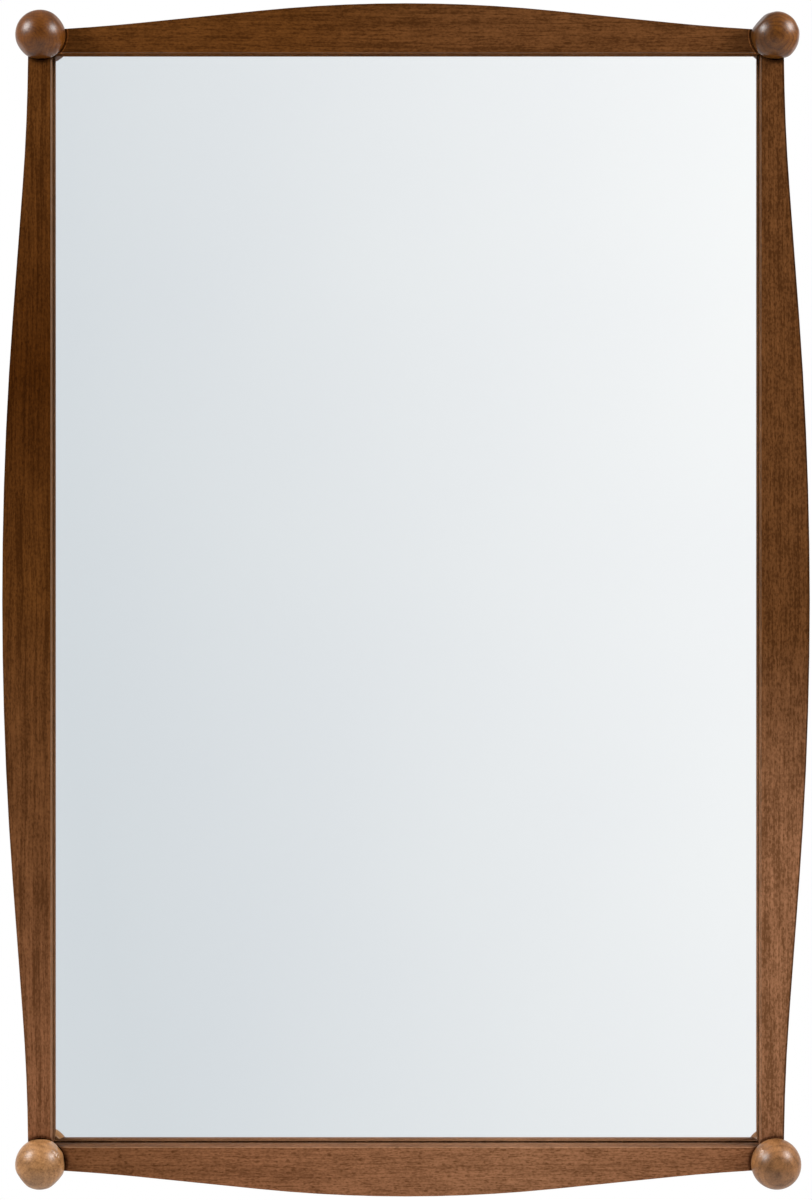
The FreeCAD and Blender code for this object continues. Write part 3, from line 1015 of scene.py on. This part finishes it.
@dataclass
class Fixings:
    """Retaining tabs, and every screw, made again with its round or countersunk head, a cross slot and a
    thread.
    """

    screws: tuple[Screw, ...] = (
        Screw("tab_screws", Head.ROUND, 6.0, 1.8, 3.0),
        Screw("hanger_screws", Head.ROUND, 6.4, 2.0, 3.2),
        Screw("ball_screws", Head.COUNTERSUNK, 7.2, 2.4, 3.6),
    )
    finish: PlatedSteel = PlatedSteel("yellow-passivated zinc on steel", "#d9cda6", "#c7b079", 0.3, 2.0)
    tab_finish: PlatedSteel = PlatedSteel("bright zinc on pressed steel", "#cfd2d4", "#aeb4ba", 0.34, 4.0)
    steps: int = 90
    sides: int = 32
    thread_steps: int = 16
    dome_power: float = 2.4
    # Least share of a radius at the point, and the least radius of all.
    point_share: float = 0.02
    least_mm: float = 0.02
    seed: int = 7

    def build(self) -> None:
        """Dress the tabs and make the screws, with one tree for every kind."""
        dress("retaining_tabs", self.tab_finish.material())
        metal = self.finish.material()
        maker = self._maker()
        for kind in self.screws:
            boxes = islands(kind.node)
            sizes = kind.sizes(boxes[0][1].y - boxes[0][0].y)
            seats = [Vector(((low.x + high.x) / 2, high.y - sizes["Crown"], (low.z + high.z) / 2))
                     for low, high in boxes]
            mesh = maker.run(seats, metal, sizes)
            link_piece(kind.node + "_threaded", mesh, FRAME_BODY, (kind.node,))

    def _maker(self) -> Maker:
        """Build the tree of the screws, which stand along +Y with their heads outwards."""
        maker = Maker("wood screws", (
            "Crown", "Neck", "Taper", "Tip", "Head radius", "Shank radius", "Core radius", "Crest radius",
            "Thread length", "Turns", "Slot length", "Slot width", "Slot depth"))
        size, add = maker.given, maker.add
        tip, crown = [add("CombineXYZ", 0.0, 0.0, size[end]) for end in ("Tip", "Crown")]
        axis = add("GeometryNodeCurvePrimitiveLine", tip, crown)
        stepped = add("GeometryNodeResampleCurve", inputs={"Curve": axis, "Count": self.steps})
        circle = add("GeometryNodeCurvePrimitiveCircle", inputs={"Resolution": self.sides, "Radius": 1.0})
        turned = add("GeometryNodeCurveToMesh", inputs={
            "Curve": stepped, "Profile Curve": circle, "Scale": self._radius(maker), "Fill Caps": True})
        slots = []
        for across, along in (("Slot length", "Slot width"), ("Slot width", "Slot length")):
            extent = add("CombineXYZ", size[across], size[along], size["Slot depth"])
            block = add("GeometryNodeMeshCube", extent)
            slots.append(add("GeometryNodeTransform", inputs={"Geometry": block, "Translation": crown}))
        slotted = add("GeometryNodeMeshBoolean.DIFFERENCE", inputs={"Mesh 1": turned, "Mesh 2": slots},
                      settings={"solver": "EXACT"})
        whole = add("GeometryNodeJoinGeometry", [slotted, self._thread(maker, tip)])
        spin = add("FunctionNodeRandomValue", inputs={2: 0.0, 3: math.pi / 2, "Seed": self.seed},
                   settings={"data_type": "FLOAT"})
        maker.end(whole, add("CombineXYZ", -math.pi / 2, spin.outputs[1]))
        return maker

    def _radius(self, maker: Maker) -> Node:
        """Work out a screw's radius from its height: a dome, a cone under the head, a shank and a point.

        Args:
            maker: the screws' tree.

        Returns:
            The radius at each height.
        """
        size, add = maker.given, maker.add
        height = add("SeparateXYZ", add("GeometryNodeInputPosition")).outputs["Z"]
        risen = add("Math.DIVIDE", height, size["Crown"])
        fallen = add("Math.SUBTRACT", 1.0, add("Math.POWER", risen, self.dome_power))
        dome = add("Math.MULTIPLY", add("Math.SQRT", fallen), size["Head radius"])
        cone = add("MapRange", height, size["Neck"], 0.0, size["Shank radius"], size["Head radius"])
        above = add("Math.GREATER_THAN", height, 0.0)
        chosen = add("GeometryNodeSwitch", inputs={"Switch": above, "False": cone, "True": dome},
                     settings={"input_type": "FLOAT"})
        point = add("MapRange", height, size["Tip"], size["Taper"], self.point_share, 1.0)
        return add("Math.MAXIMUM", add("Math.MULTIPLY", chosen, point), self.least_mm * MM)

    def _thread(self, maker: Maker, tip: Node) -> Node:
        """Wind the thread, three-sided in section, round the lower part of the shank.

        Args:
            maker: the screws' tree.
            tip: the place of the point.

        Returns:
            The thread.
        """
        size, add = maker.given, maker.add
        helix = add("GeometryNodeCurveSpiral", inputs={
            "Resolution": self.thread_steps, "Rotations": size["Turns"], "Start Radius": size["Core radius"],
            "End Radius": size["Shank radius"], "Height": size["Thread length"], "Reverse": False})
        section = add("GeometryNodeCurvePrimitiveCircle", inputs={
            "Resolution": 3, "Radius": size["Crest radius"]})
        wound = add("GeometryNodeCurveToMesh", inputs={
            "Curve": helix, "Profile Curve": section, "Fill Caps": True})
        return add("GeometryNodeTransform", inputs={"Geometry": wound, "Translation": tip})


@dataclass
class Hangers:
    """Two rolled-eye straps and the D rings that swing in them, bent from smooth round wire."""

    wire_mm: float = 2.4
    half_width_mm: float = 8.6
    leg_mm: float = 6.0
    corner_mm: float = 2.6
    wire_sides: int = 24
    bend_steps: int = 16
    # Where two bends meet, points nearer than this are one.
    merge_mm: float = 0.01
    strap_finish: PlatedSteel = PlatedSteel("bright zinc on sheet steel", "#cdd0d3", "#adb2b8", 0.32, 5.0)
    ring_finish: PlatedSteel = PlatedSteel("nickel on drawn steel wire", "#d8d4cc", "#c0bbb2", 0.2, 6.0)

    def build(self) -> None:
        """Dress the straps and bend the rings."""
        strap = self.strap_finish.material()
        wire = self.ring_finish.material()
        maker = self._maker()
        drop = self.half_width_mm + self.leg_mm
        sizes_mm = {"Width": 2 * self.half_width_mm, "Half width": self.half_width_mm, "Drop": drop,
                    "Middle": -drop / 2, "Corner": self.corner_mm, "Wire radius": self.wire_mm / 2}
        sizes = {name: length * MM for name, length in sizes_mm.items()}
        for joint in frame["joints"]:
            ring = joint["child"]
            dress(ring.split("_")[0] + "_hanger_strap", strap)
            mesh = maker.run([Vector(joint["pos_m"])], wire, sizes)
            link_piece(ring + "_bent", mesh, ring, (ring,))

    def _maker(self) -> Maker:
        """Build the tree of a ring: a rectangle whose lower corners round off into a half circle."""
        maker = Maker("wire D ring", ("Width", "Half width", "Drop", "Middle", "Corner", "Wire radius"))
        size, add = maker.given, maker.add
        outline = add("GeometryNodeCurvePrimitiveQuadrilateral", settings={"mode": "RECTANGLE"}, inputs={
            "Width": size["Width"], "Height": size["Drop"]})
        height = add("SeparateXYZ", add("GeometryNodeInputPosition")).outputs["Y"]
        is_top = add("Math.GREATER_THAN", height, 0.0)
        radius = add("GeometryNodeSwitch", settings={"input_type": "FLOAT"}, inputs={
            "Switch": is_top, "False": size["Half width"], "True": size["Corner"]})
        rounded = add("GeometryNodeFilletCurve", settings={"mode": "POLY"}, inputs={
            "Curve": outline, "Count": self.bend_steps, "Radius": radius})
        section = add("GeometryNodeCurvePrimitiveCircle", inputs={
            "Resolution": self.wire_sides, "Radius": size["Wire radius"]})
        wire = add("GeometryNodeCurveToMesh", inputs={"Curve": rounded, "Profile Curve": section})
        hung = add("GeometryNodeTransform", inputs={
            "Geometry": wire, "Translation": add("CombineXYZ", 0.0, 0.0, size["Middle"]),
            "Rotation": (math.pi / 2, 0.0, 0.0)})
        maker.end(add("GeometryNodeMergeByDistance", inputs={
            "Geometry": hung, "Distance": self.merge_mm * MM}))
        return maker


@dataclass(frozen=True)
class Softbox:
    """A rectangular studio lamp with a white diffuser."""

    name: str
    place: Place
    size: tuple[float, float]
    power: float
    reflected: bool = True

    def build(self) -> None:
        """Set the lamp up, turned to the middle of the mirror."""
        lamp = bpy.data.lights.new(self.name, "AREA")
        lamp.shape = "RECTANGLE"
        lamp.size, lamp.size_y = self.size
        lamp.energy = self.power
        stand = bpy.data.objects.new(self.name, lamp)
        stand.location = self.place
        stand.rotation_euler = Vector(self.place).to_track_quat("Z", "Y").to_euler()
        stand.visible_camera = False
        stand.visible_glossy = self.reflected
        stand.visible_transmission = self.reflected
        bpy.context.scene.collection.objects.link(stand)


@dataclass
class Studio:
    """A studio: the camera, two softboxes, a bounce card, dim walls and a pale floor far below."""

    camera_distance: float = 2.5
    camera_height: float = 0.1975
    framed_height: float = 0.9186
    sensor_mm: float = 36.0
    floor_level: float = -3.2
    floor_radius: float = 8.0
    floor_sides: int = 128
    rim_shares: tuple[float, float] = (0.45, 0.98)
    floor_whiteness: float = 0.75
    vinyl: str = "#f4f4f3"
    reflected_floor: str = "#e6e9ec"
    skirting_top: float = -0.25
    skirting_foot: float = -0.36
    camera_side: str = "#404040"
    dim_walls: str = "#a4a4a4"
    rear_wall: str = WHITE
    rearward: Place = (0.0, 1.0, -0.5)
    left_tone: str = "#d6dbe0"
    right_tone: str = "#fcfcfd"
    paler_towards: Place = (4.0, 0.0, 0.8)
    softboxes: tuple[Softbox, ...] = (
        Softbox("left softbox", (-2.7, -1.0, 1.85), (1.2, 1.3), 128.0),
        Softbox("right softbox", (2.7, -1.0, 1.85), (1.2, 1.3), 128.0),
        Softbox("bounce card", (0.0, -1.0, -2.2), (4.0, 3.4), 26.0, reflected=False),
    )

    def build(self) -> None:
        """Set the whole studio up."""
        bpy.context.scene.view_settings.view_transform = "Standard"
        self._camera()
        self._world()
        self._floor()
        for softbox in self.softboxes:
            softbox.build()

    def _camera(self) -> None:
        """Stand a level camera before the mirror, shifted down so that upright lines stay upright."""
        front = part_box("left_stile")[0].y
        lens = bpy.data.cameras.new("camera")
        lens.sensor_width = self.sensor_mm
        lens.lens = self.sensor_mm * self.camera_distance / self.framed_height
        lens.shift_y = -self.camera_height / self.framed_height
        camera = bpy.data.objects.new("camera", lens)
        camera.location = (0.0, front - self.camera_distance, self.camera_height)
        camera.rotation_euler = (math.pi / 2, 0.0, 0.0)
        bpy.context.scene.collection.objects.link(camera)
        bpy.context.scene.camera = camera

    def _world(self) -> None:
        """Light the studio evenly, and give reflections its walls.

        The mirror and the glass see white walls, a little paler to the right, which low down turn into the
        floor's tone, so that no hard edge runs between them. Everything else is lit by dim walls: white
        only low down behind the mirror, and darkest where the camera stands, so that lacquer stays clear
        there.
        """
        world = bpy.data.worlds.new("studio")
        world.use_nodes = True
        bpy.context.scene.world = world
        add = Nodes(world.node_tree).add
        direction = add("TexCoord").outputs["Generated"]
        slope = add("VectorMath.DOT_PRODUCT", direction, self.paler_towards).outputs["Value"]
        sides = add("ValToRGB", add("Math.ADD", slope, 0.5),
                    stops=((0.0, self.left_tone), (1.0, self.right_tone)))
        sunk = add("MapRange", add("SeparateXYZ", direction).outputs["Z"], self.skirting_top,
                   self.skirting_foot, settings={"interpolation_type": "SMOOTHSTEP"})
        rearward = add("VectorMath.DOT_PRODUCT", direction, self.rearward).outputs["Value"]
        lit = add("ValToRGB", add("MapRange", rearward, -1.0, 1.0), stops=(
            (0.0, self.camera_side), (0.3, self.dim_walls), (0.74, self.dim_walls), (0.9, self.rear_wall)))
        ray = add("LightPath").outputs
        mirrored = add("Math.MAXIMUM", ray["Is Singular Ray"], ray["Is Transmission Ray"])
        walls = add("Mix", settings={"data_type": "RGBA"}, inputs={
            "Factor": sunk, 6: sides, 7: linear(self.reflected_floor)})
        seen = add("Mix", settings={"data_type": "RGBA"}, inputs={
            "Factor": mirrored, 6: lit, 7: walls.outputs[2]})
        colour = add("Mix", settings={"data_type": "RGBA"}, inputs={
            "Factor": ray["Is Camera Ray"], 6: seen.outputs[2], 7: linear(WHITE)})
        add("OutputWorld", add("Background", colour.outputs[2], 1.0))

    def _floor(self) -> None:
        """Lay the pale floor, a disc whose rim fades into the background.

        The camera, gloss, glass and the mirror see it mostly as the plain white of the background, and the
        rest of what they see is the vinyl with the object's soft shadow.
        """
        nodes = Surface("pale matt vinyl floor")
        add = nodes.add
        away = add("VectorMath.LENGTH", nodes.position).outputs["Value"]
        rim = add("MapRange", away, *(self.floor_radius * share for share in self.rim_shares),
                  settings={"interpolation_type": "SMOOTHSTEP"})
        whitened = add("MapRange", rim, 0.0, 1.0, self.floor_whiteness, 1.0)
        ray = add("LightPath").outputs
        reflected = add("Math.MAXIMUM", ray["Is Glossy Ray"], ray["Is Transmission Ray"])
        seen = add("Math.MAXIMUM", reflected, ray["Is Camera Ray"])
        fade = add("Math.MULTIPLY", whitened, seen)
        tone = add("Mix", settings={"data_type": "RGBA"}, inputs={
            "Factor": ray["Is Camera Ray"], 6: linear(self.reflected_floor), 7: linear(WHITE)})
        material = nodes.close(add("MixShader", fade, add("BsdfDiffuse", linear(self.vinyl)),
                                   add("Emission", tone.outputs[2], 1.0)))
        material.cycles.emission_sampling = "NONE"
        shape = bmesh.new()
        bmesh.ops.create_circle(shape, cap_ends=True, segments=self.floor_sides, radius=self.floor_radius)
        mesh = bpy.data.meshes.new("floor")
        shape.to_mesh(mesh)
        shape.free()
        mesh.materials.append(material)
        floor = bpy.data.objects.new("floor", mesh)
        floor.location.z = self.floor_level
        bpy.context.scene.collection.objects.link(floor)
        floor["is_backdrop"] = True


def write_sizes() -> None:
    """Measure the CAD model's box and the visual model's box. Nothing is written or kept."""
    boxes = {"cad": cad_box, "visual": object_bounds()}
    {name: [list(low), list(high)] for name, (low, high) in boxes.items()}


def main() -> None:
    """Build the studio and every sub-assembly in order."""
    logging.basicConfig(level=logging.INFO, format="%(name)s: %(message)s")
    Studio().build()
    FrameMembers().build()
    CornerBalls().build()
    MirrorPane().build()
    Fixings().build()
    Hangers().build()
    dress("wall_bumpers", Rubber().material())
    write_sizes()


if __name__ == "__main__":
    main()
